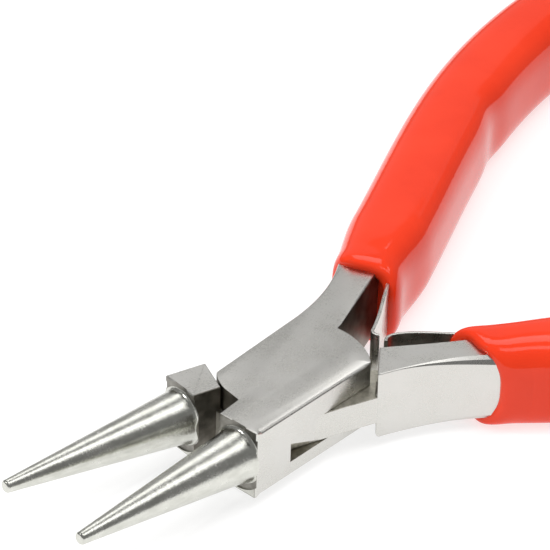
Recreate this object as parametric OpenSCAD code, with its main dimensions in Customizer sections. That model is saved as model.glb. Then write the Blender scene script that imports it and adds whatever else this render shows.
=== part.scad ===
// Round nose pliers with a box joint, double leaf springs and dipped grips.
// Origin: on the pivot axis, in the plane of the head's lower face.
// The jaws point to -Y, the handles to +Y, and +Z is up. Lengths in mm.
//
// Every shape is drawn with the tool closed, as the half that runs through the box:
// its jaw on -X and its handle on +X. The box half mirrors what both halves share.

/* [Opening] */
// Angle between the two halves at rest, held open by the springs
rest_opening = 18.6; // [16:0.1:21]

/* [Head] */
// Thickness of the head, jaw blocks and shanks
head_t = 9; // [8.6:0.1:9.4]
// Half width of the head at the jaw blocks
head_front_half_w = 6.4; // [6.2:0.05:6.6]
// Half width of the head at the back of the cheeks
head_rear_half_w = 6.65; // [6.5:0.05:6.8]
// Half width of the cheeks on the side away from the jaw
cheek_half_w = 5.65; // [5.5:0.05:5.8]
// Half width of the through half's jaw block
through_block_half_w = 6.2; // [6:0.05:6.4]
// Distance from the pivot axis to the middle of the jaw blocks' front faces
jaw_face = 11.7; // [11.2:0.1:12.4]
// How far the box half's jaw block stands back from the mating plane
box_jaw_relief = 0.3; // [0.2:0.05:0.5]
// How far the through half's jaw block stands back from the mating plane
through_jaw_relief = 0.8; // [0.6:0.05:1]

/* [Jaws] */
// Length of each round jaw
jaw_len = 25; // [20:0.5:28]
// Radius of a jaw where it meets its block
jaw_root_r = 3.35; // [3:0.05:3.4]
// Radius of a jaw at its tip
jaw_tip_r = 0.8; // [0.5:0.01:1]
// Height of the jaw axis above the lower face
jaw_axis_z = 4.7; // [4.4:0.05:4.8]
// Radius of the fillet between jaw and block
jaw_fillet = 0.7; // [0.4:0.1:0.8]

/* [Box joint] */
// Thickness of the lower cheek
lower_cheek_t = 2; // [1.8:0.05:2.2]
// Height of the slot between the cheeks
slot_h = 3.8; // [3.4:0.05:4]
// Clearance above and below the web in the slot
web_clearance = 0.08; // [0.04:0.01:0.12]
// Clearance between the cheeks' curved edges and the shoulders that turn past them
shoulder_clearance = 0.2; // [0.15:0.01:0.3]
// Diameter of the pivot rivet
pivot_d = 4; // [3:0.1:5]
// Radial running clearance of the web on the rivet
pivot_clearance = 0.04; // [0.02:0.01:0.08]

/* [Leaf springs] */
// Thickness of the spring strip
spring_t = 0.45; // [0.35:0.05:0.5]
// Width of the spring strip
spring_w = 7.6; // [6:0.1:7.6]
// Diameter of the rivet that holds each spring
spring_rivet_d = 1.8; // [1.4:0.1:2]
// Diameter of that rivet's head
spring_rivet_head_d = 3.2; // [2.6:0.1:3.6]
// Thickness of that rivet's head
spring_rivet_head_t = 0.4; // [0.3:0.05:0.45]
// Depth of that rivet in the handle
spring_rivet_depth = 4; // [3:0.5:5]

/* [Grips] */
// Where the coating starts, along Y with the tool closed
grip_mouth = 23.4; // [23:0.1:24]
// Half height of the dipped grip
grip_half_h = 5.9; // [5.8:0.05:6.2]
// Half width of the grip at its mouth
grip_mouth_half_w = 4.2; // [4.1:0.05:4.4]
// Half width of the grip along the palm
grip_palm_half_w = 5.5; // [5.4:0.05:6]
// Thickness of the coating beside the handle core
grip_wall = 1.3; // [1.2:0.05:1.4]
// Height of the handle core inside the grip
core_h = 7.6; // [7:0.1:7.8]
// How square the grip's section is: 2 is an ellipse
grip_squareness = 3; // [2.8:0.1:3.4]

/* [Hidden] */

$fn = 96;
overlap = 0.5;                          // how far joined solids run into each other
beyond = 20;                            // reach of a cutting shape past what it cuts
steel = [0.70, 0.70, 0.68];
spring_steel = [0.76, 0.75, 0.72];
coating = [0.93, 0.28, 0.16];

half_angle = rest_opening / 2;
slot_roof = lower_cheek_t + slot_h;

// Jaws: closed, each touches the mating plane along one line of its cone
jaw_gap = 0.02;
jaw_taper = asin((jaw_root_r - jaw_tip_r) / jaw_len);
jaw_x = (jaw_root_r + jaw_gap) / cos(jaw_taper);

// Cheeks: curved edges that the straight shoulders of the other half turn past
front_edge_r = 7.45;
rear_edge_centre = [1, 1.6];
rear_edge_r = 10.65;
notch = [-0.1, -7.7];                   // inner corner between the front edge and the jaw block
notch_start = 291;                      // where the front edge leaves its arc for the notch
slot_r = 8.6;                           // reach of the slot around the pivot
slot_side = 0.9;                        // where the slot's open back ends

// Skirt: a thin wall on the jaw side that hangs from the upper cheek over the slot's front end
skirt_inner = -6.15;
skirt_profile = [[-6.4, 4.85], [-1.3, 2.9], [-0.9, slot_roof + 0.1], [-6.4, slot_roof + 0.1]];

// Shoulders of the through half: straight edges, given by normal direction and distance
front_shoulder = [258, front_edge_r + shoulder_clearance];
rear_shoulder_dir = 54.4;
rear_shoulder = [rear_shoulder_dir,
    [-rear_edge_centre[0], rear_edge_centre[1]] * unit(rear_shoulder_dir)
    + rear_edge_r + shoulder_clearance];

// Web of the through half: it crosses the slot from its jaw block to its shank
web_jaw_side = [[4.4, -7], [5.9, -5.8], [5.95, 5.5], [6.1, 7.6]];
web_back = [[6.2, 10.2], [5, 12], [1.5, 13.8], [0.9, 12.9], [-0.3, 8]];
web_away_side = [[-4.4, 1.5], [-5.05, -0.6], [-5.65, -1.8], [-5.65, -4.6], [-6.1, -6.6]];
web_front = [[-6.1, -8.5], [-1.2, -8.5], [-0.8, -8.2]];

// Shank: its outer edge is one arc, its inner edge one straight line
shank_arc_r = 30;
shank_arc_start = [6.25, 9];
shank_inner_start = [1.05, 12.8];
shank_inner_slope = 0.345;
shank_end = 26;

// Handle: its spine is a cubic curve, given by its end points and two handles
spine = [[5.8, 20.5], [14.8, 49], [28.5, 65.8], [30.2, 97]];
spine_end = 0.985;                      // where the grip's round end starts
core_start = grip_mouth + 1.2;
core_end = 0.96;
grip_swell = [0.04, 0.2];               // stretch of the spine over which the grip fills out
grip_rim_r = 0.6;

// Spring: the anchored stretch lies flat on the core, the free one is a cubic curve
spring_path = [[4.3, 27.2], [3.3, 24.2], [-0.2, 19.6], [-2.0, 15.3]];
spring_anchor_dir = [0.27, 0.963];
spring_anchor_len = 7;
spring_hook_r = 0.9;                    // the tip curls back towards its own handle
spring_hook_step = 14;
spring_rivet_at = 4.2;                  // from the end of the free stretch
spring_fit = 0.05;                      // room for the strip in the coating

// ---- Helpers

function unit(a) = [cos(a), sin(a)];

// Unit normal on the right of a direction
function right_of(v) = [v[1], -v[0]] / norm(v);

// Points on an arc from angle a0 to a1 in n steps
function arc(centre, r, a0, a1, n) = [for (i = [0:n]) centre + r * unit(a0 + (a1 - a0) * i / n)];

// A point on a cubic curve, and the curve's direction there
function cubic(p, t) = (1 - t)^3 * p[0] + 3 * (1 - t)^2 * t * p[1]
                     + 3 * (1 - t) * t^2 * p[2] + t^3 * p[3];
function cubic_dir(p, t) = (1 - t)^2 * (p[1] - p[0]) + 2 * (1 - t) * t * (p[2] - p[1])
                         + t^2 * (p[3] - p[2]);

// Parameter at which the spine reaches a given Y, by halving
function spine_at(y, lo = 0, hi = 1, steps = 14) =
    let (mid = (lo + hi) / 2)
    steps == 0 ? mid
    : cubic(spine, mid)[1] < y ? spine_at(y, mid, hi, steps - 1)
    : spine_at(y, lo, mid, steps - 1);

// A point beside the spine, to its outer side where d is positive
function beside_spine(t, d) = cubic(spine, t) + d * right_of(cubic_dir(spine, t));

function eased(x) = let (s = min(max(x, 0), 1)) s * s * (3 - 2 * s);
function grip_half_w(t) = grip_mouth_half_w + (grip_palm_half_w - grip_mouth_half_w)
    * eased((t - grip_swell[0]) / (grip_swell[1] - grip_swell[0]));

// The outline of a strip of thickness t along a list of points
function along(p, i) = p[min(i + 1, len(p) - 1)] - p[max(i - 1, 0)];
function strip(p, t) = concat(
    [for (i = [0:len(p) - 1]) p[i] + t / 2 * right_of(along(p, i))],
    [for (i = [len(p) - 1:-1:0]) p[i] - t / 2 * right_of(along(p, i))]);

// Opens one half of the tool from its closed place to its rest place
module as_box_half() {
    rotate([0, 0, half_angle]) mirror([1, 0, 0]) children();
}

module as_through_half() {
    rotate([0, 0, -half_angle]) children();
}

// ---- Jaw: a turned cone with a fillet at its root

module on_jaw_axis() {
    translate([-jaw_x, -jaw_face, jaw_axis_z]) rotate([90, 0, jaw_taper]) children();
}

module jaw_fillet_ring() {
    centre_r = jaw_root_r - jaw_fillet * tan(jaw_taper) + jaw_fillet / cos(jaw_taper);
    touch = [centre_r - jaw_fillet * cos(jaw_taper), jaw_fillet * (1 - sin(jaw_taper))];
    inward = [overlap, 0];
    rotate_extrude()
        difference() {
            polygon([[jaw_root_r, 0] - inward, [centre_r, 0], touch, touch - inward]);
            translate([centre_r, jaw_fillet]) circle(jaw_fillet);
        }
}

module jaw() {
    tip_chamfer = 0.25;
    on_jaw_axis() {
        translate([0, 0, -2 * overlap]) cylinder(h = 2 * overlap + 0.1, r = jaw_root_r - overlap);
        cylinder(h = jaw_len, r1 = jaw_root_r, r2 = jaw_tip_r);
        translate([0, 0, jaw_len])
            cylinder(h = tip_chamfer, r1 = jaw_tip_r, r2 = jaw_tip_r - tip_chamfer);
    }
    intersection() {
        on_jaw_axis() jaw_fillet_ring();
        translate([-head_front_half_w, -jaw_face - 2, 0])
            cube([head_front_half_w - jaw_gap, 3, head_t]);
    }
}

// ---- Handle: the shank behind the head, and the core inside the grip

function shank_outer_angle(y) = 180 - asin((y - shank_arc_start[1]) / shank_arc_r);
function shank_inner(y) = [shank_inner_start[0] + shank_inner_slope * (y - shank_inner_start[1]), y];

// The shank's outline beyond the points that it starts from, given from inside to outside
module shank_outline(start, outer_y) {
    centre = shank_arc_start + [shank_arc_r, 0];
    outer = arc(centre, shank_arc_r, shank_outer_angle(outer_y), shank_outer_angle(shank_end), 18);
    polygon(concat(start, outer, [shank_inner(shank_end)]));
}

module core_outline() {
    steps = 24;
    first = spine_at(core_start);
    ts = [for (i = [0:steps]) first + (core_end - first) * i / steps];
    outer = [for (t = ts) beside_spine(t, grip_half_w(t) - grip_wall)];
    inner = [for (i = [steps:-1:0]) beside_spine(ts[i], grip_wall - grip_half_w(ts[i]))];
    polygon(concat(outer, inner));
}

// Flat seat of the spring's anchored stretch, cut into the core's inner side
module spring_seat_outline() {
    out = right_of(spring_anchor_dir);
    near = spring_path[0] - overlap * spring_anchor_dir;
    far = spring_path[0] + spring_anchor_len * spring_anchor_dir;
    polygon([near + out * spring_t / 2, far + out * spring_t / 2, far - out * 2, near - out * 2]);
}

module handle_core() {
    translate([0, 0, (head_t - core_h) / 2])
        linear_extrude(core_h)
            difference() {
                core_outline();
                spring_seat_outline();
            }
}

// ---- Spring strip and its rivet

function hook_centre_dir() = -right_of(spring_path[3] - spring_path[2]);
function spring_centreline() =
    let (inward = hook_centre_dir(),
         centre = spring_path[3] + spring_hook_r * inward,
         start = atan2(-inward[1], -inward[0]))
    concat([spring_path[0] + spring_anchor_len * spring_anchor_dir],
           [for (i = [0:20]) cubic(spring_path, i / 20)],
           [for (i = [1:5]) centre + spring_hook_r * unit(start + i * spring_hook_step)]);

module spring_strip(t, w) {
    translate([0, 0, (head_t - w) / 2]) linear_extrude(w) polygon(strip(spring_centreline(), t));
}

// Puts +Z on the spring rivet's axis, pointing into the handle from the strip's middle
module on_spring_rivet_axis() {
    foot = spring_path[0] + spring_rivet_at * spring_anchor_dir;
    into = right_of(spring_anchor_dir);
    translate([foot[0], foot[1], head_t / 2])
        rotate([0, 0, atan2(into[1], into[0])]) rotate([0, 90, 0]) children();
}

module spring_rivet_shank() {
    on_spring_rivet_axis()
        translate([0, 0, -spring_t]) cylinder(h = spring_rivet_depth + spring_t, d = spring_rivet_d);
}

module spring_rivet_head() {
    on_spring_rivet_axis()
        translate([0, 0, -spring_t / 2 - spring_rivet_head_t])
            cylinder(h = spring_rivet_head_t, d = spring_rivet_head_d);
}

module leaf_spring() {
    difference() {
        spring_strip(spring_t, spring_w);
        spring_rivet_shank();
    }
}

module spring_rivet() {
    spring_rivet_head();
    spring_rivet_shank();
}

// ---- Box half: two cheeks, joined in front by the jaw block and behind by the shank

// Y of a jaw block's front face, which stands square to the jaw's axis
function block_front(x) = -jaw_face + (x + jaw_x) * tan(jaw_taper);

module box_cheek_outline() {
    rear_corner = 180 - acos((head_rear_half_w + rear_edge_centre[0]) / rear_edge_r);
    front_corner = 360 - acos(cheek_half_w / front_edge_r);
    polygon(concat([[-box_jaw_relief, block_front(-box_jaw_relief)],
                    [-head_front_half_w, block_front(-head_front_half_w)]],
                   arc(rear_edge_centre, rear_edge_r, rear_corner, 90, 16),
                   [shank_inner_start, shank_arc_start],
                   arc([0, 0], front_edge_r, front_corner, notch_start, 10),
                   [notch]));
}

// The slot: a disc about the pivot, open at the back on the jaw's side
module box_slot() {
    translate([0, 0, lower_cheek_t]) cylinder(h = slot_h, r = slot_r);
    translate([slot_side - beyond, 0, lower_cheek_t]) cube([beyond, beyond, slot_h]);
}

// The skirt's profile is given as [y, z]; its outer face is the cheek's own side
module box_skirt() {
    intersection() {
        translate([skirt_inner - beyond, 0, 0]) rotate([90, 0, 90])
            linear_extrude(beyond) polygon(skirt_profile);
        linear_extrude(head_t) box_cheek_outline();
    }
}

module box_half() {
    shank_start = [shank_inner_start - [0.1, 0.9], shank_arc_start - [0.4, 0.5]];
    color(steel) as_box_half()
        difference() {
            union() {
                difference() {
                    linear_extrude(head_t) {
                        box_cheek_outline();
                        shank_outline(shank_start, shank_arc_start[1]);
                    }
                    box_slot();
                }
                box_skirt();
                jaw();
                handle_core();
            }
            translate([0, 0, -overlap]) cylinder(h = head_t + 2 * overlap, d = pivot_d);
            spring_rivet_shank();
        }
}

// ---- Through half: a thin web between its jaw block and its shank

// Y of a shoulder at a given X
function shoulder_y(shoulder, x) =
    (shoulder[1] - x * cos(shoulder[0])) / sin(shoulder[0]);

module through_block_outline() {
    xs = [-through_jaw_relief, -through_block_half_w];
    polygon([[xs[0], block_front(xs[0])], [xs[1], block_front(xs[1])],
             [xs[1], shoulder_y(front_shoulder, xs[1])], [xs[0], shoulder_y(front_shoulder, xs[0])]]);
}

module through_shank_outline() {
    inner_x = shank_inner_start[0] + 0.2;
    outer = [shank_arc_start[0], shoulder_y(rear_shoulder, shank_arc_start[0])];
    shank_outline([[inner_x, shoulder_y(rear_shoulder, inner_x)], outer], outer[1]);
}

module through_web() {
    translate([0, 0, lower_cheek_t + web_clearance])
        linear_extrude(slot_h - 2 * web_clearance)
            polygon(concat(web_jaw_side, web_back, web_away_side, web_front));
}

module through_half() {
    color(steel) as_through_half()
        difference() {
            union() {
                linear_extrude(head_t) {
                    through_block_outline();
                    through_shank_outline();
                }
                through_web();
                jaw();
                handle_core();
            }
            translate([0, 0, -overlap])
                cylinder(h = head_t + 2 * overlap, d = pivot_d + 2 * pivot_clearance);
            spring_rivet_shank();
        }
}

// ---- Pivot rivet, ground flush with both cheeks

module pivot_rivet() {
    color(steel) cylinder(h = head_t, d = pivot_d);
}

// ---- Grip: a dipped sleeve with a round closed end

grip_sides = 28;
function signed_power(v, e) = sign(v) * pow(abs(v), e);

// One ring of the sleeve, square to the spine, with its middle at c
function grip_ring(c, across, half_w, half_h) = [
    for (k = [0:grip_sides - 1])
        let (a = 360 * k / grip_sides, e = 2 / grip_squareness,
             p = c + across * half_w * signed_power(cos(a), e))
        [p[0], p[1], head_t / 2 + half_h * signed_power(sin(a), e)]];

function grip_ring_at(t, inset) =
    grip_ring(cubic(spine, t), right_of(cubic_dir(spine, t)),
              grip_half_w(t) - inset, grip_half_h - inset);

// Rings of the rounded rim, then along the handle, then over the round end
function grip_rings() =
    let (first = spine_at(grip_mouth), per_mm = 1 / norm(cubic_dir(spine, first)) / 3,
         rim_end = first + grip_rim_r * per_mm,
         dir = cubic_dir(spine, spine_end), ahead = dir / norm(dir))
    concat([for (a = [0:22.5:67.5])
                grip_ring_at(first + (rim_end - first) * (1 - cos(a)), grip_rim_r * (1 - sin(a)))],
           [for (i = [0:22]) grip_ring_at(rim_end + (spine_end - rim_end) * i / 22, 0)],
           [for (a = [15:15:75])
                grip_ring(cubic(spine, spine_end) + ahead * grip_palm_half_w * 0.9 * sin(a),
                          right_of(dir), grip_palm_half_w * cos(a), grip_half_h * cos(a))]);

module sleeve() {
    rings = grip_rings();
    last = len(rings) - 1;
    n = grip_sides;
    polyhedron(
        points = [for (r = rings) each r],
        faces = concat(
            [[for (k = [0:n - 1]) k]],
            [for (i = [0:last - 1], k = [0:n - 1])
                [i * n + k, (i + 1) * n + k, (i + 1) * n + (k + 1) % n, i * n + (k + 1) % n]],
            [[for (k = [n - 1:-1:0]) last * n + k]]),
        convexity = 4);
}

module grip() {
    shank_from = grip_mouth - 3;
    difference() {
        sleeve();
        linear_extrude(head_t)
            shank_outline([shank_inner(shank_from)], shank_from);
        handle_core();
        spring_strip(spring_t + 2 * spring_fit, spring_w + 2 * spring_fit);
        spring_rivet();
    }
}

module box_leaf_spring() {
    color(spring_steel) as_box_half() leaf_spring();
}

module through_leaf_spring() {
    color(spring_steel) as_through_half() leaf_spring();
}

module box_spring_rivet() {
    color(steel) as_box_half() spring_rivet();
}

module through_spring_rivet() {
    color(steel) as_through_half() spring_rivet();
}

module box_grip() {
    color(coating) as_box_half() grip();
}

module through_grip() {
    color(coating) as_through_half() grip();
}

box_half();
through_half();
pivot_rivet();
box_leaf_spring();
through_leaf_spring();
box_spring_rivet();
through_spring_rivet();
box_grip();
through_grip();
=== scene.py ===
"""Looks for the round nose pliers: ground steel, bright springs and glossy dipped grips.

Lengths in the shape code are millimetres. Both halves are drawn as the part draws them: closed,
jaw on -X and handle on +X. placed() turns a half to its rest place, mirroring the box half first.
"""
import math

import bmesh
import bpy
from mathutils import Matrix, Vector


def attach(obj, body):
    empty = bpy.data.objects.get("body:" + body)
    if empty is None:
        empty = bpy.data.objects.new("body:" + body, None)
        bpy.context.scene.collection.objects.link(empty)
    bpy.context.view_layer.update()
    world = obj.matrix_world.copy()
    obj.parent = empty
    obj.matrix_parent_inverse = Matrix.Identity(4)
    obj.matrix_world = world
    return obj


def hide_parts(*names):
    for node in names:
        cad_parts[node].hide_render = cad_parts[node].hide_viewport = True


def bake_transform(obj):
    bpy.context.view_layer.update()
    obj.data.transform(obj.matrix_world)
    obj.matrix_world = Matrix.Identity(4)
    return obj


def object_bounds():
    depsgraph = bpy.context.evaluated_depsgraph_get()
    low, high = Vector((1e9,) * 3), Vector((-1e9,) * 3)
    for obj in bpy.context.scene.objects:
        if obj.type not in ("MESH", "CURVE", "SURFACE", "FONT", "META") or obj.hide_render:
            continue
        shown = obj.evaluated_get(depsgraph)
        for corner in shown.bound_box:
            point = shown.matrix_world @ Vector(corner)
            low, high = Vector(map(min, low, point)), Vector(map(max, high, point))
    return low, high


MM = 0.001
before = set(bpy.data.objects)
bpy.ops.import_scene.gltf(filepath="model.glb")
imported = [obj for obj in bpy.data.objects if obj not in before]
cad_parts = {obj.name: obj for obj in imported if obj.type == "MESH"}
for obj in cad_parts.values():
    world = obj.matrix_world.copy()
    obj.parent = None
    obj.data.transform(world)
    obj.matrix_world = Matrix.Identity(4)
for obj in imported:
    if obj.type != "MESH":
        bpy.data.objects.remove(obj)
cad_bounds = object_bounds()

# ---- Sizes that the looks share with the part

HALF_ANGLE = 9.3                            # degrees between each half and the middle, at rest
HEAD_T = 9.0
JAW_FACE = 11.7
JAW_LEN = 25.0
JAW_ROOT_R = 3.35
JAW_TIP_R = 0.8
JAW_AXIS_Z = 4.7
JAW_TAPER = math.asin((JAW_ROOT_R - JAW_TIP_R) / JAW_LEN)
JAW_X = (JAW_ROOT_R + 0.02) / math.cos(JAW_TAPER)
SLOT = (2.0, 5.8)                           # floor and roof of the slot between the cheeks
SLOT_R = 8.6
WEB = (2.08, 5.72)
PIVOT_D = 4.0
SPRING_T = 0.45
SPRING_W = 7.6
SHANK_ARC_R = 30.0
SHANK_ARC_START = Vector((6.25, 9.0))
SHANK_INNER_START = Vector((1.05, 12.8))
SHANK_INNER_SLOPE = 0.345
SHANK_END = 26.6
SPINE = [Vector(p) for p in ((5.8, 20.5), (14.8, 49.0), (28.5, 65.8), (30.2, 97.0))]
SPRING_PATHS = {"box": [Vector(p) for p in ((4.3, 27.2), (3.3, 24.2), (-0.1, 19.7), (-1.7, 15.7))],
                "through": [Vector(p) for p in ((4.3, 27.2), (3.3, 24.2), (-0.9, 20.0), (-1.3, 17.0))]}


# ---- Plane geometry

def unit(angle):
    return Vector((math.cos(math.radians(angle)), math.sin(math.radians(angle))))


def right_of(v):
    return Vector((v.y, -v.x)).normalized()


def arc(centre, r, a0, a1, n):
    return [Vector(centre) + r * unit(a0 + (a1 - a0) * i / n) for i in range(n + 1)]


def cubic(p, t):
    return (1 - t)**3 * p[0] + 3 * (1 - t)**2 * t * p[1] + 3 * (1 - t) * t**2 * p[2] + t**3 * p[3]


def cubic_dir(p, t):
    return (1 - t)**2 * (p[1] - p[0]) + 2 * (1 - t) * t * (p[2] - p[1]) + t**2 * (p[3] - p[2])


def spine_at(y):
    """Parameter at which the handle's spine reaches a given Y, by halving."""
    low, high = 0.0, 1.0
    for _ in range(16):
        mid = (low + high) / 2
        if cubic(SPINE, mid).y < y:
            low = mid
        else:
            high = mid
    return (low + high) / 2


def eased(x):
    x = min(max(x, 0.0), 1.0)
    return x * x * (3 - 2 * x)


def bell(x, width):
    return math.exp(-(x / width)**2)


# ---- Meshes

def build(bm, name):
    """A mesh object from a bmesh, which is freed."""
    mesh = bpy.data.meshes.new(name)
    bm.to_mesh(mesh)
    bm.free()
    obj = bpy.data.objects.new(name, mesh)
    bpy.context.scene.collection.objects.link(obj)
    return obj


def baked(obj):
    """A new object with the old one's name and its mesh with the modifiers applied; the old one goes."""
    bpy.context.view_layer.update()
    shown = obj.evaluated_get(bpy.context.evaluated_depsgraph_get())
    mesh = bpy.data.meshes.new_from_object(shown)
    name = obj.name
    bpy.data.objects.remove(obj)
    result = bpy.data.objects.new(name, mesh)
    bpy.context.scene.collection.objects.link(result)
    return result


def combined(obj, other, operation):
    """Boolean of two solids; both objects are used up."""
    modifier = obj.modifiers.new("combine", "BOOLEAN")
    modifier.operation = operation
    modifier.solver = "MANIFOLD"
    modifier.object = other
    result = baked(obj)
    bpy.data.objects.remove(other)
    return result


def loft(rings):
    """A closed bmesh over rings of equally many points, with a cap on each end and faces turned outward."""
    bm = bmesh.new()
    rows = [[bm.verts.new(p) for p in ring] for ring in rings]
    n = len(rows[0])
    for low, high in zip(rows, rows[1:]):
        for k in range(n):
            bm.faces.new((low[k], low[(k + 1) % n], high[(k + 1) % n], high[k]))
    bm.faces.new(list(reversed(rows[0])))
    bm.faces.new(rows[-1])
    bmesh.ops.recalc_face_normals(bm, faces=bm.faces)
    return bm


def outline(corners):
    """Counterclockwise points (x, y, bevel) from corners (x, y, bevel, rounding radius)."""
    area = sum(a[0] * b[1] - b[0] * a[1] for a, b in zip(corners, corners[1:] + corners[:1]))
    if area < 0:
        corners = corners[::-1]
    points = []
    for i, (x, y, bevel, r) in enumerate(corners):
        p = Vector((x, y))
        if r == 0:
            points.append((p, bevel))
            continue
        before, after = Vector(corners[i - 1][:2]), Vector(corners[(i + 1) % len(corners)][:2])
        back, ahead = (before - p).normalized(), (after - p).normalized()
        half = back.angle(ahead) / 2
        reach = r / math.tan(half)
        a, b = p + back * reach, p + ahead * reach
        for s in (0, 0.25, 0.5, 0.75, 1):
            points.append(((1 - s)**2 * a + 2 * s * (1 - s) * p + s * s * b, bevel))
    return points


BEVEL = ((1, 0), (0.38, 0.43), (0, 1.1))     # inset and drop, as shares of the edge's width
CROWN = ((1, 0), (0.45, 0.08), (0.16, 0.25), (0.05, 0.62), (0, 1))


def crown_depth(width):
    """A wide crown is shallow: the drop stops growing with the width."""
    return min(0.9 * width, 0.2 + 0.1 * width)


def plate(corners, z0, z1, profile=BEVEL, depth=lambda width: width):
    """A flat solid whose top and bottom edges are broken, by each corner's own width."""
    points = outline(corners)
    n = len(points)
    inward = []
    for i in range(n):
        before = right_of(points[i][0] - points[i - 1][0])
        after = right_of(points[(i + 1) % n][0] - points[i][0])
        inward.append(-(before + after) / (1 + before.dot(after)))
    steps = profile if points[0][1] > 0 else ((0, 0),)
    lower = [(inset, z0, drop) for inset, drop in steps]
    upper = [(inset, z1, -drop) for inset, drop in reversed(steps)]
    rings = []
    for inset, z, drop in lower + upper:
        rings.append([(*(p + inward[i] * w * inset), z + depth(w) * drop)
                      for i, (p, w) in enumerate(points)])
    return loft(rings)


def bar(section, start, end):
    """A straight bar between two plan points; its section is (distance to the right, height)."""
    across = right_of(end - start)
    return loft([[(*(p + across * u), z) for u, z in section] for p in (end, start)])


def lathe(profile, sides=96):
    """A solid of revolution about +Z from (radius, height) pairs, lowest first."""
    return loft([[(r * math.cos(2 * math.pi * k / sides), r * math.sin(2 * math.pi * k / sides), z)
                  for k in range(sides)] for r, z in profile])


def placed(obj, side):
    """Turns a closed, drawn half in millimetres to its rest place in metres."""
    turn = Matrix.Rotation(math.radians(HALF_ANGLE if side == "box" else -HALF_ANGLE), 4, "Z")
    matrix = Matrix.Scale(MM, 4) @ turn
    if side == "box":
        matrix = matrix @ Matrix.Diagonal((-1, 1, 1, 1))
    obj.data.transform(matrix)
    if side == "box":
        obj.data.flip_normals()
    return obj


def set_grain(obj, matrix, by_face=None):
    """Stores where each face's corners lie in the piece's own millimetres."""
    mesh = obj.data
    attribute = mesh.attributes.new(GRAIN, "FLOAT_VECTOR", "CORNER")
    for face in mesh.polygons:
        to_grain = (by_face(face) if by_face else None) or matrix
        for corner in face.loop_indices:
            attribute.data[corner].vector = to_grain @ mesh.vertices[mesh.loops[corner].vertex_index].co


def smooth_by_angle(obj, degrees):
    mesh = obj.data
    mesh.polygons.foreach_set("use_smooth", [True] * len(mesh.polygons))
    mesh.set_sharp_from_angle(angle=math.radians(degrees))


# ---- Steel halves

def jaw_matrix():
    """From the jaw's own frame, with +Z along it from its block, to the drawn frame."""
    return (Matrix.Translation((-JAW_X, -JAW_FACE, JAW_AXIS_Z))
            @ Matrix.Rotation(JAW_TAPER, 4, "Z") @ Matrix.Rotation(math.radians(90), 4, "X"))


EDGE = 0.13                                 # width of the broken edges of blocks and shoulders
ARC_EDGE = 0.1                              # and of the cheeks' curved edges
RECESS = 0.2                                # depth of the turned face around the jaw's root
RECESS_R = 4.45
FILLET = 0.45
JAW_STUB_R = JAW_ROOT_R - 1.0               # the part of the jaw inside its block
JAW_TIP_ROUND = 0.35
BLOCK_SIDE = -6.38                          # the jaw's root flange stops just inside its block's side
BEYOND = 40                                 # farther than any part of a half


def block_front(x):
    return -JAW_FACE + (x + JAW_X) * math.tan(JAW_TAPER)


def with_jaw(half):
    cutter = build(lathe([(RECESS_R, -RECESS), (RECESS_R, 6)]), "recess")
    cutter.data.transform(jaw_matrix())
    half = combined(half, cutter, "DIFFERENCE")
    slope = (JAW_ROOT_R - JAW_TIP_R) / JAW_LEN
    profile = [(JAW_STUB_R, -2.0), (JAW_STUB_R, -RECESS - 0.1), (JAW_ROOT_R + FILLET, -RECESS - 0.05)]
    for a in range(9, 91, 9):
        s = FILLET * (1 - math.cos(math.radians(a))) * 1.1 - RECESS
        profile.append((JAW_ROOT_R + FILLET * (1 - math.sin(math.radians(a))) - slope * s, s))
    profile += [(JAW_ROOT_R - slope * s, s) for s in (2, 5, 10, 15, 20)]
    for a in range(0, 89, 8):
        c, s = math.cos(math.radians(a)), math.sin(math.radians(a))
        profile.append((JAW_TIP_R - JAW_TIP_ROUND * (1 - c), JAW_LEN - JAW_TIP_ROUND * (1 - s) + 0.25))
    jaw = build(lathe(profile), "jaw")
    jaw.data.transform(jaw_matrix())
    for x, y in ((BLOCK_SIDE - 10, -JAW_FACE - 0.3), (-0.02, -BEYOND)):
        slab = [(x, y, 0, 0), (x + 10, y, 0, 0), (x + 10, 0, 0, 0), (x, 0, 0, 0)]
        jaw = combined(jaw, build(plate(slab, -5, 15), "trim"), "DIFFERENCE")
    return combined(half, jaw, "UNION")


def shank_outer(y):
    return SHANK_ARC_START.x + SHANK_ARC_R - math.sqrt(SHANK_ARC_R**2 - (y - SHANK_ARC_START.y)**2)


def shank_inner(y):
    return SHANK_INNER_START.x + SHANK_INNER_SLOPE * (y - SHANK_INNER_START.y)


def shank_bevel(y):
    """The outer edges' bevel widens towards the grip."""
    return 0.1 + 0.75 * eased((y - 12) / 13)


def shank_corners(first_y):
    """Outer edge from first_y to the grip, then the inner edge back."""
    ys = [first_y + (SHANK_END - first_y) * i / 18 for i in range(19)]
    outer = [(shank_outer(y), y, shank_bevel(y), 0) for y in ys]
    inner_ys = [SHANK_END, 24.5, 22.0, 19.0, 16.0, SHANK_INNER_START.y + 0.6]
    inner = [(shank_inner(y), y, 0.14 + 0.3 * eased((y - 13) / 8), 0) for y in inner_ys]
    return outer, inner


# Side of the box half on the jaw's side, from the cheek's back to the jaw block's front
BOX_BACK_X = -6.65
BOX_FRONT_X = -6.4
BOX_SIDE = (Vector((BOX_BACK_X, 9.01)), Vector((BOX_FRONT_X, block_front(BOX_FRONT_X))))
CROWN_WIDTH = 1.7                           # of the wide rounding along that side
CROWN_FADE = 0.9                            # length over which it dies out at each end
REAR_EDGE = ((1, 1.6), 10.65)               # centre and radius of the cheeks' rear edge
FRONT_EDGE = ((0, 0), 7.45)
FRONT_EDGE_START = 291                      # direction, in degrees, of its end beside the jaw block
CHEEK_HALF_W = 5.65                         # on the side away from the jaw


def box_side_x(y):
    a, b = BOX_SIDE
    return a.x + (b.x - a.x) * (y - a.y) / (b.y - a.y)


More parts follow.
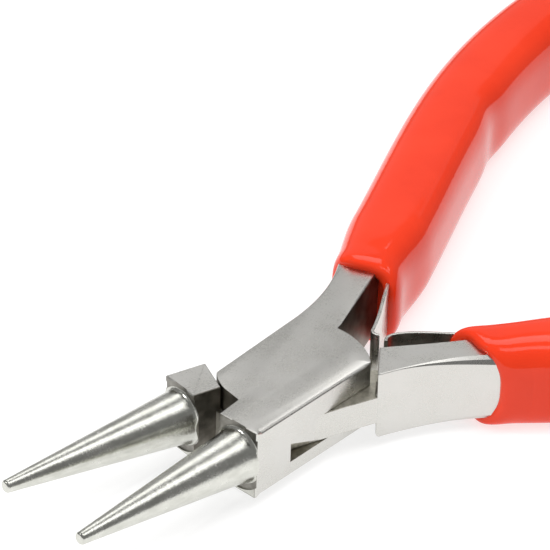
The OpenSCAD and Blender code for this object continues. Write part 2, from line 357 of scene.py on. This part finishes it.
def box_half_body():
    outer, inner = shank_corners(9.4)
    back, front_end = BOX_SIDE
    rear_end = 180 - math.degrees(math.acos((REAR_EDGE[0][0] - BOX_BACK_X) / REAR_EDGE[1]))
    rear = arc(*REAR_EDGE, 90, rear_end, 18)
    cheek_corner = 360 - math.degrees(math.acos(CHEEK_HALF_W / FRONT_EDGE[1]))
    front = arc(*FRONT_EDGE, FRONT_EDGE_START, cheek_corner, 10)
    corners = [(-0.3, block_front(-0.3), EDGE, 0.12), (-0.1, -7.7, 0.06, 0)]
    corners += [(*p, ARC_EDGE, 0) for p in front[:-1]]
    corners += [(*front[-1], ARC_EDGE, 0.15)]
    corners += outer + inner
    corners += [(*p, ARC_EDGE, 0) for p in rear[:-1]]
    fade = (front_end - back).normalized() * CROWN_FADE
    corners += [(*back, EDGE, 0.2), (*(back + fade), CROWN_WIDTH, 0)]
    corners += [(*(front_end - fade), CROWN_WIDTH, 0), (*front_end, EDGE, 0.2)]
    return build(plate(corners, 0, HEAD_T, CROWN, crown_depth), "box_half_steel")


def with_bore(obj, r):
    return combined(obj, build(lathe([(r, -1), (r, HEAD_T + 1)]), "bore"), "DIFFERENCE")


SKIRT_INNER = -6.15                         # X of its inner face
SKIRT_PROFILE = ((-6.4, 4.85), (-1.3, 2.9), (-0.9, SLOT[1] + 0.1), (-6.4, SLOT[1] + 0.1))    # (y, z)


def skirt():
    """The thin wall that hangs from the upper cheek over the slot's front end, on the jaw's side."""
    return loft([[(SKIRT_INNER, y, z) for y, z in SKIRT_PROFILE],
                 [(box_side_x(y), y, z) for y, z in SKIRT_PROFILE]])


SLOT_SIDE = 0.9                             # where the slot's open back ends


def box_half():
    half = with_bore(box_half_body(), PIVOT_D / 2)
    disc = build(lathe([(SLOT_R, SLOT[0]), (SLOT_R, SLOT[1])], 128), "slot")
    half = combined(half, disc, "DIFFERENCE")
    open_back = [(SLOT_SIDE, 0, 0, 0), (SLOT_SIDE, 30, 0, 0), (-20, 30, 0, 0), (-20, 0, 0, 0)]
    half = combined(half, build(plate(open_back, *SLOT), "slot_back"), "DIFFERENCE")
    half = combined(half, build(skirt(), "skirt"), "UNION")
    return with_jaw(half)


def shoulder_y(direction, distance, x):
    a = math.radians(direction)
    return (distance - x * math.cos(a)) / math.sin(a)


LOWER_CORNER_R = 0.8                        # of the through half's rear block, under the web
WEB_FILLET_R = 0.32


def rounding(r):
    """Section of a cutter that rounds the corner at the origin, between a wall and a lower face."""
    curve = [(-r + r * math.sin(math.radians(a)), r - r * math.cos(math.radians(a)))
             for a in range(0, 91, 9)]
    return [(-r, -1.0)] + curve + [(1.0, r), (1.0, -1.0)]


def fillet(r, z, up):
    """Section of a fillet between a wall on the left and the web's face at height z."""
    curve = [(r - r * math.sin(math.radians(a)), z + up * (r - r * math.cos(math.radians(a))))
             for a in range(0, 91, 15)]
    return [(-0.3, z + up * r), (-0.3, z - up * 0.3), (r, z - up * 0.3)] + curve


# Straight shoulders of the through half: the normal's direction in degrees and the distance
FRONT_SHOULDER = (258, 7.65)
REAR_SHOULDER = (54.4, 11.57)
BLOCK_X = (-6.2, -0.8)                      # side and mating face of its jaw block
WEB_JAW_SIDE = ((4.4, -7), (5.9, -5.8), (5.92, 0.6), (5.95, 5.5), (6.1, 7.6))
WEB_BACK = ((6.2, 10.2), (5, 12), (1.5, 13.8), (0.9, 12.9), (-0.3, 8))
WEB_AWAY_SIDE = ((-4.4, 1.5), (-5.05, -0.6), (-5.65, -1.8), (-5.65, -4.6), (-6.1, -6.6))
WEB_FRONT = ((-6.1, -8.5), (-1.2, -8.5), (-0.8, -8.2))
WEB_CLEARANCE = 0.04                        # radial, round the pivot rivet


def on_rear_shoulder(x):
    return Vector((x, shoulder_y(*REAR_SHOULDER, x)))


def rear_block():
    """The shank, from its straight shoulder, with the lower corner over the web rounded."""
    start_x = SHANK_INNER_START.x + 0.2
    outer_y = shoulder_y(*REAR_SHOULDER, SHANK_ARC_START.x)
    outer, inner = shank_corners(outer_y)
    x, y, w, _ = outer[0]
    outer[0] = (x, y, w, 0.25)
    corners = outer + inner[:-1] + [(*on_rear_shoulder(start_x), 0.12, 0.1)]
    cutter = bar(rounding(LOWER_CORNER_R), on_rear_shoulder(start_x - 1), on_rear_shoulder(8.0))
    return combined(build(plate(corners, 0, HEAD_T), "rear"), build(cutter, "rounding"), "DIFFERENCE")


def web():
    corners = [(*p, 0.06, 0) for p in WEB_JAW_SIDE + WEB_BACK + WEB_AWAY_SIDE + WEB_FRONT]
    return with_bore(build(plate(corners, *WEB), "web"), PIVOT_D / 2 + WEB_CLEARANCE)


def through_half():
    side, mating = BLOCK_X
    block = [(mating, block_front(mating), EDGE, 0.12), (side, block_front(side), EDGE, 0.15),
             (side, shoulder_y(*FRONT_SHOULDER, side), EDGE, 0.15),
             (mating, shoulder_y(*FRONT_SHOULDER, mating), EDGE, 0.15)]
    half = with_jaw(build(plate(block, 0, HEAD_T), "through_half_steel"))
    half = combined(half, rear_block(), "UNION")
    half = combined(half, web(), "UNION")
    for z, up in ((WEB[0], -1), (WEB[1], 1)):
        seam = bar(fillet(WEB_FILLET_R, z, up), on_rear_shoulder(3.4), on_rear_shoulder(5.95))
        half = combined(half, build(seam, "fillet"), "UNION")
    return half


# inner and recess are painted shade; slot is also used as painted shadow under the skirt.
HALF_MATERIALS = ("ground", "turned", "inner", "slot", "recess")


def finish_half(half, inner_look):
    """Materials by face, and grain in each face's own millimetres."""
    mesh = half.data
    mesh.materials.clear()
    for name in HALF_MATERIALS:
        mesh.materials.append(materials[name])
    to_jaw = jaw_matrix().inverted()
    near = 0.02
    turned = []
    for face in mesh.polygons:
        p = to_jaw @ face.center
        on_jaw = p.z > -RECESS - near and math.hypot(p.x, p.y) < RECESS_R + near
        turned.append(on_jaw)
        # Painted shade: the blocks' front faces and the turned ring round the jaw's root get the dark
        # recess look.
        front = face.normal.y < -0.9 and face.center.y < -11
        shaded_ring = on_jaw and p.z < near - RECESS
        if shaded_ring or front and not on_jaw:
            look = "recess"
        elif on_jaw:
            look = "turned"
        else:
            look = inner_look(face.center, face.normal)
        face.material_index = HALF_MATERIALS.index(look)
    set_grain(half, Matrix.Identity(4), lambda face: to_jaw if turned[face.index] else None)
    smooth_by_angle(half, 9)


SHANK_INSIDE_Y = 12.6                       # from here on, the shank's inner side gets the dark inner look, which is painted shade


def box_inner(p, normal):
    """The look of a face: the slot's darker olive one, the dark inner one that paints shade on faces that
    face the other half, or ground.
    """
    in_slot = SLOT[0] - 0.01 < p.z < SLOT[1] + 0.01 and math.hypot(p.x, p.y) < SLOT_R + 0.05
    in_slot = in_slot and (abs(normal.z) > 0.5 or normal.dot(Vector((p.x, p.y, 0))) < 0)
    # Painted shade: the mating and front faces and the shank's inner side face the other half and get the
    # dark inner look.
    mating = p.y < -6.5 and p.x > -0.35 and abs(normal.z) < 0.5
    front = p.x > -0.35 and p.y < -4.8 and abs(normal.z) < 0.5
    shaded_shank_inside = p.y > SHANK_INSIDE_Y and normal.x < -0.8
    if in_slot:
        return "slot"
    return "inner" if mating or front or shaded_shank_inside else "ground"


def through_inner(p, normal):
    """The same three looks, for the through half."""
    # Painted shade: the mating face, the front shoulder and the shank's inner side get the dark inner look.
    mating = p.y < 0 and abs(p.x - BLOCK_X[1]) < 0.1 and normal.x > 0.5
    shoulder = p.y < 0 and normal.y > 0.5
    web_top = abs(p.z - WEB[1]) < 0.05 or abs(p.z - WEB[0]) < 0.05
    shaded_shank_inside = p.y > SHANK_INSIDE_Y and normal.x < -0.8
    # Painted shadow: the web's side under the skirt gets the slot's darker look.
    shadow_under_skirt = p.x > 5.8 and p.y < 0.6 and p.z < WEB[1]
    if web_top or shadow_under_skirt:
        return "slot"
    return "inner" if mating or shoulder or shaded_shank_inside else "ground"


# ---- Springs

# Radius and angle of each curled tip; a negative radius curls away from the handle
SPRING_HOOKS = {"box": (-0.9, 105), "through": (1.6, 70)}
SPRING_ANCHOR_DIR = Vector((0.27, 0.963))
SPRING_CORNER_R = 0.12                      # of the strip's own section
SPRING_RIVET_AT = 4.2                       # from the end of the free stretch
SPRING_RIVET_R = 0.9
SPRING_RIVET_HEAD = (1.6, 0.4)              # radius and thickness
SPRING_RIVET_DEPTH = 4.0


def spring_line(path, hook_r, hook_turn):
    turn = math.copysign(1, hook_r)
    inward = -turn * right_of(path[3] - path[2])
    centre = path[3] + abs(hook_r) * inward
    start = math.degrees(math.atan2(-inward.y, -inward.x))
    anchored = [path[0] + s * SPRING_ANCHOR_DIR for s in (7, 5, 3, 1)]
    free = [cubic(path, i / 36) for i in range(37)]
    return anchored + free + arc(centre, abs(hook_r), start + 7 * turn, start + hook_turn * turn, 12)


def strip_section():
    """The strip's rounded section, once round from its right side, as (across, up) pairs."""
    flat_t, flat_w = SPRING_T / 2 - SPRING_CORNER_R, SPRING_W / 2 - SPRING_CORNER_R
    rising = (0, 45, 90)
    section = []
    for sx, sz, angles in ((1, 1, rising), (-1, 1, rising[::-1]), (-1, -1, rising), (1, -1, rising[::-1])):
        for a in angles:
            section.append((sx * (flat_t + SPRING_CORNER_R * math.cos(math.radians(a))),
                            sz * (flat_w + SPRING_CORNER_R * math.sin(math.radians(a)))))
    return section


def leaf_spring(name, side):
    line = spring_line(SPRING_PATHS[side], *SPRING_HOOKS[side])
    section = strip_section()
    rings = []
    for i, p in enumerate(line):
        across = right_of(line[min(i + 1, len(line) - 1)] - line[max(i - 1, 0)])
        rings.append([(*(p + across * u), HEAD_T / 2 + v) for u, v in section])
    spring = build(loft(rings), name)
    spring.data.materials.append(materials["spring"])
    set_grain(spring, Matrix.Identity(4))
    smooth_by_angle(spring, 30)
    return spring


def spring_rivet(name, side):
    """A round-headed rivet, from the strip into the handle's core."""
    head_r, head_t = SPRING_RIVET_HEAD
    top = -SPRING_T / 2
    profile = [(0.4 * head_r, top - head_t), (0.8 * head_r, top - 0.8 * head_t),
               (head_r, top - 0.3 * head_t), (head_r, top),
               (SPRING_RIVET_R, top + 0.02), (SPRING_RIVET_R, SPRING_RIVET_DEPTH)]
    rivet = build(lathe(profile, 48), name)
    into = right_of(SPRING_ANCHOR_DIR)
    foot = SPRING_PATHS[side][0] + SPRING_RIVET_AT * SPRING_ANCHOR_DIR
    rivet.data.transform(Matrix.Translation((*foot, HEAD_T / 2))
                         @ Vector((*into, 0)).to_track_quat("Z", "Y").to_matrix().to_4x4())
    return rivet


def pivot_rivet():
    r = PIVOT_D / 2
    return build(lathe([(r, 0), (r, HEAD_T)]), "pivot_pin")


# ---- Grips

GRIP_SIDES = 72
GRIP_HALF_H = 5.9
GRIP_HALF_W = (4.2, 5.5)                    # at the mouth and in the palm
GRIP_MOUTH = 23.4
GRIP_LAST_Y = 94.8                          # where the round end starts
GRIP_RINGS = 76
GRIP_END_REACH = 0.72                       # length of the round end, in palm half widths
SQUARENESS = 3.2                            # of the section: 2 is round, more is squarer
ROUNDING = 2 / SQUARENESS
SPRING_COVER = 0.8                          # how far the coating swells over the root of the spring


def signed_power(v, e):
    return math.copysign(abs(v)**e, v)


def box_mouth(a):
    """How far along Y the box half's coating starts, by the angle round its section."""
    turn = math.degrees(math.atan2(math.sin(a), math.cos(a)))
    return GRIP_MOUTH + 0.9 + 1.3 * bell(turn, 50) - 0.8 * bell(180 - abs(turn), 45)


def through_mouth(a):
    """The same, for the through half."""
    turn = math.degrees(math.atan2(math.sin(a), math.cos(a)))
    return GRIP_MOUTH - 0.05 + 2.0 * math.cos(a) + 0.3 * bell(turn, 30) - 0.4 * bell(turn + 58, 30)


def grip_point(y, a, inset):
    """A point of the coating's surface, at angle a from its outer side."""
    t = spine_at(y)
    c, across = cubic(SPINE, t), right_of(cubic_dir(SPINE, t))
    filled = eased((t - 0.04) / 0.16)
    half_w = GRIP_HALF_W[0] + (GRIP_HALF_W[1] - GRIP_HALF_W[0]) * filled
    half_h = GRIP_HALF_H - 0.3 * (1 - eased((y - 23) / 9))
    if math.cos(a) < 0:
        half_w += SPRING_COVER * bell(y - 24.5, 3.5) - 0.5 * bell(y - 66, 3.5)
    flat = c + across * (half_w - inset) * signed_power(math.cos(a), ROUNDING)
    return (flat.x, flat.y, HEAD_T / 2 + (half_h - inset) * signed_power(math.sin(a), ROUNDING))


# The lip's section: inset from the coating's surface, and distance behind the mouth
LIP = ((2.0, 1.6), (1.6, 0.3), (1.2, 0.05), (0.75, 0.0), (0.4, 0.07), (0.15, 0.28), (0.02, 0.6),
       (-0.06, 1.1), (-0.08, 1.7), (-0.04, 2.6), (0.0, 3.6))
LIP_LEN = LIP[-1][1]
MOUTH_FADE = 9                              # distance over which the mouth's own line evens out


def grip(name, mouth):
    """The coating as a closed skin: rounded lip, body along the handle's spine, round end."""
    angles = [2 * math.pi * k / GRIP_SIDES for k in range(GRIP_SIDES)]
    rings = []
    for inset, s in LIP:
        rings.append([grip_point(mouth(a) + s, a, inset) for a in angles])
    for i in range(1, GRIP_RINGS + 1):
        s = LIP_LEN + (GRIP_LAST_Y - GRIP_MOUTH - LIP_LEN) * i / GRIP_RINGS
        fade = 1 - eased(s / MOUTH_FADE)
        rings.append([grip_point(GRIP_MOUTH + s + (mouth(a) - GRIP_MOUTH) * fade, a, 0) for a in angles])
    t = spine_at(GRIP_LAST_Y)
    ahead = cubic_dir(SPINE, t).normalized()
    across = right_of(ahead)
    for d in range(8, 90, 9):
        reach, shrink = math.sin(math.radians(d)), math.cos(math.radians(d))
        c = cubic(SPINE, t) + ahead * GRIP_HALF_W[1] * GRIP_END_REACH * reach
        rings.append([(*(c + across * GRIP_HALF_W[1] * shrink * signed_power(math.cos(a), ROUNDING)),
                       HEAD_T / 2 + GRIP_HALF_H * shrink * signed_power(math.sin(a), ROUNDING))
                      for a in angles])
    sleeve = build(loft(rings), name)
    sleeve.data.materials.append(materials["coating"])
    set_grain(sleeve, Matrix.Identity(4))
    smooth_by_angle(sleeve, 40)
    return sleeve


# ---- Camera, lights and floor

def camera_axes(azimuth, elevation, roll):
    """Right, up and back directions of a camera, from angles in degrees."""
    az, el, ro = (math.radians(a) for a in (azimuth, elevation, roll))
    back = Vector((math.sin(az) * math.cos(el), -math.cos(az) * math.cos(el), math.sin(el)))
    right = back.cross(Vector((0, 0, 1))).normalized() * -1
    up = back.cross(right)
    turned_right = right * math.cos(ro) + up * math.sin(ro)
    turned_up = up * math.cos(ro) - right * math.sin(ro)
    return turned_right, turned_up, back


def make_camera():
    target = Vector((-27.456, 23.847, 0.0)) * MM
    distance = 600 * MM
    right, up, back = camera_axes(47.628, 31.775, 1.734)
    data = bpy.data.cameras.new("camera")
    data.sensor_width = 36
    data.lens = 312.7
    data.clip_start = 0.01
    camera = bpy.data.objects.new("camera", data)
    camera.matrix_world = Matrix.LocRotScale(
        target + back * distance, Matrix((right, up, back)).transposed().to_quaternion(), None)
    bpy.context.scene.collection.objects.link(camera)
    bpy.context.scene.camera = camera


def aim(obj, place, target):
    obj.location = place
    obj.rotation_euler = (Vector(target) - Vector(place)).to_track_quat("-Z", "Y").to_euler()


def area_light(name, place, size, power, in_reflections=True, target=(0, 0.02, 0)):
    data = bpy.data.lights.new(name, "AREA")
    data.shape = "RECTANGLE"
    data.size, data.size_y = size
    data.energy = power
    light = bpy.data.objects.new(name, data)
    light.visible_glossy = in_reflections
    aim(light, place, target)
    bpy.context.scene.collection.objects.link(light)


def around(azimuth, elevation, distance=1.1):
    """A place round the pliers: azimuth counterclockwise from +X, in degrees, and metres."""
    level = distance * math.cos(math.radians(elevation))
    return (level * math.cos(math.radians(azimuth)), level * math.sin(math.radians(azimuth)),
            distance * math.sin(math.radians(elevation)))


def make_studio():
    world = bpy.data.worlds.new("studio")
    bpy.context.scene.world = world
    world.use_nodes = True
    background = world.node_tree.nodes["Background"]
    background.inputs["Color"].default_value = (1, 1, 1, 1)
    background.inputs["Strength"].default_value = 0.22
    area_light("front strip", around(50, 67), (0.36, 0.72), 1.9)
    area_light("edge strip", around(80, 46), (0.3, 0.16), 0.4)
    area_light("rear strip", around(138, 50), (0.5, 0.4), 1.2)
    area_light("rear wall", around(140, 22), (1.4, 0.5), 0.5)
    area_light("spark", around(-125, 46), (0.08, 0.08), 2.2)
    area_light("fill", around(0, 88), (1.2, 1.2), 8.5, in_reflections=False)
    area_light("front fill", around(-85, 45), (0.9, 0.9), 4.0, in_reflections=False)
    bpy.context.scene.view_settings.view_transform = "Standard"


def make_floor():
    low = cad_bounds[0][2]
    bpy.ops.mesh.primitive_plane_add(size=6, location=(0, 0, low))
    floor = bpy.context.object
    floor.name = "floor"
    material = bpy.data.materials.new("floor")
    material.use_nodes = True
    shader = material.node_tree.nodes["Principled BSDF"]
    shader.inputs["Base Color"].default_value = (0.38, 0.38, 0.38, 1)
    shader.inputs["Roughness"].default_value = 0.8
    shader.inputs["Emission Color"].default_value = (1, 1, 1, 1)
    shader.inputs["Emission Strength"].default_value = 0.7
    floor.data.materials.append(material)


# ---- Materials

GRAIN = "grain"                             # each piece's own millimetres, for grain that follows its shape


def node_tools(material):
    nodes, links = material.node_tree.nodes, material.node_tree.links

    def add(kind, **values):
        node = nodes.new(kind)
        for key, value in values.items():
            if key in node.inputs:
                node.inputs[key].default_value = value
            else:
                setattr(node, key, value)
        return node

    return nodes["Principled BSDF"], add, links.new


def new_material(name, **sockets):
    material = bpy.data.materials.new(name)
    material.use_nodes = True
    shader = material.node_tree.nodes["Principled BSDF"]
    for key, value in sockets.items():
        shader.inputs[key.replace("_", " ")].default_value = value
    return material


def grain_noise(add, link, scale, detail=4.0, roughness=0.5):
    """Noise in the piece's own millimetres; scale gives the cells per millimetre on each axis."""
    place = add("ShaderNodeAttribute", attribute_name=GRAIN)
    stretch = add("ShaderNodeMapping", Scale=scale)
    noise = add("ShaderNodeTexNoise", Scale=1.0, Detail=detail, Roughness=roughness)
    link(place.outputs["Vector"], stretch.inputs["Vector"])
    link(stretch.outputs["Vector"], noise.inputs["Vector"])
    return noise.outputs["Fac"]


def blend_colour(add, link, factor, low, high, limits=(0.35, 0.65)):
    ramp = add("ShaderNodeValToRGB")
    for stop, place, colour in zip(ramp.color_ramp.elements, limits, (low, high)):
        stop.position = place
        stop.color = (*colour, 1)
    link(factor, ramp.inputs["Fac"])
    return ramp.outputs["Color"]


def spread(add, link, factor, low, high, limits=(0.3, 0.7)):
    """The factor's middle range, stretched to run from low to high."""
    ends = {"From Min": limits[0], "From Max": limits[1], "To Min": low, "To Max": high}
    node = add("ShaderNodeMapRange", **ends)
    link(factor, node.inputs["Value"])
    return node.outputs["Result"]


def steel_material(name, colours, rough, blotch, grain, relief, detail=2.0):
    """Metal with large soft blotches in colour and gloss, and a fine directional grain in relief."""
    material = new_material(name, Metallic=1.0)
    shader, add, link = node_tools(material)
    cloud = grain_noise(add, link, blotch)
    fine = grain_noise(add, link, grain, detail=detail, roughness=0.6)
    link(blend_colour(add, link, cloud, *colours), shader.inputs["Base Color"])
    both = add("ShaderNodeMath", operation="ADD")
    link(spread(add, link, cloud, 0.0, rough[1] - rough[0]), both.inputs[0])
    link(spread(add, link, fine, rough[0] - 0.03, rough[0] + 0.03), both.inputs[1])
    link(both.outputs["Value"], shader.inputs["Roughness"])
    bump = add("ShaderNodeBump", Strength=1.0, Distance=relief * MM)
    link(fine, bump.inputs["Height"])
    link(bump.outputs["Normal"], shader.inputs["Normal"])
    return material


def coating_material():
    """Glossy dipped vinyl: deep red-orange, with a slight orange-peel waviness."""
    material = new_material("coating", Roughness=0.07, IOR=1.38)
    shader, add, link = node_tools(material)
    cloud = grain_noise(add, link, (0.12, 0.12, 0.12))
    colour = blend_colour(add, link, cloud, (0.78, 0.040, 0.010), (0.83, 0.047, 0.013))
    link(colour, shader.inputs["Base Color"])
    peel = grain_noise(add, link, (0.5, 0.35, 0.5), detail=3.0)
    bump = add("ShaderNodeBump", Strength=0.12, Distance=0.12 * MM)
    link(peel, bump.inputs["Height"])
    link(bump.outputs["Normal"], shader.inputs["Normal"])
    return material


def make_materials():
    """Every steel has its two colours, its roughness from and to, its scales in cells per millimetre and
    its relief in millimetres."""
    return {
        "ground": steel_material(
            "ground_steel", colours=((0.63, 0.62, 0.585), (0.66, 0.65, 0.62)), rough=(0.27, 0.31),
            blotch=(0.25, 0.25, 0.25), grain=(20, 1.5, 8), relief=0.0006),
        "turned": steel_material(
            "turned_steel", colours=((0.60, 0.60, 0.55), (0.70, 0.70, 0.65)), rough=(0.2, 0.28),
            blotch=(1.2, 1.2, 0.5), grain=(2.2, 2.2, 5.0), relief=0.028, detail=4.0),
        # recess: painted shade, dark steel for the turned ring round the jaw's root and the blocks' front
        # faces.
        "recess": steel_material(
            "recess_shade_steel", colours=((0.2, 0.19, 0.17), (0.32, 0.31, 0.28)), rough=(0.3, 0.4),
            blotch=(0.8, 0.8, 0.8), grain=(4, 4, 4), relief=0.01),
        # inner: painted shade, dark steel for the faces that face the other half.
        "inner": steel_material(
            "inner_shade_steel", colours=((0.15, 0.14, 0.12), (0.32, 0.3, 0.26)), rough=(0.36, 0.5),
            blotch=(0.5, 0.5, 0.5), grain=(8, 8, 8), relief=0.006),
        # slot: darker, rougher olive steel for the faces in the slot, also used as painted shadow under the
        # skirt.
        "slot": steel_material(
            "slot_and_shadow_steel", colours=((0.45, 0.43, 0.36), (0.66, 0.63, 0.55)), rough=(0.42, 0.55),
            blotch=(1.5, 1.5, 1.5), grain=(8, 8, 8), relief=0.01),
        "spring": steel_material(
            "spring_steel", colours=((0.62, 0.61, 0.57), (0.70, 0.69, 0.65)), rough=(0.24, 0.34),
            blotch=(0.8, 0.8, 0.8), grain=(2, 12, 2), relief=0.004),
        "coating": coating_material()}


make_camera()
make_studio()
make_floor()
materials = make_materials()
for side, make_half, inner_look in (("box", box_half, box_inner), ("through", through_half, through_inner)):
    half = make_half()
    finish_half(half, inner_look)
    placed(half, side)
    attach(half, side + "_side")
    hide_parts(side + "_half")

for side, other in (("box", "through"), ("through", "box")):
    spring = placed(leaf_spring(side + "_spring_leaf", side), side)
    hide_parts(side + "_leaf_spring")
    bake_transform(spring)

rivets = [("box", "pivot_rivet", pivot_rivet())]
for side in ("box", "through"):
    rivets.append((side, side + "_spring_rivet", spring_rivet(side + "_spring_pin", side)))
for side, node, rivet in rivets:
    rivet.data.materials.append(materials["ground"])
    set_grain(rivet, Matrix.Identity(4))
    smooth_by_angle(rivet, 30)
    placed(rivet, side)
    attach(rivet, side + "_side")
    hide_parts(node)

for side, mouth in (("box", box_mouth), ("through", through_mouth)):
    sleeve = placed(grip(side + "_grip_sleeve", mouth), side)
    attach(sleeve, side + "_side")
    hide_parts(side + "_grip")
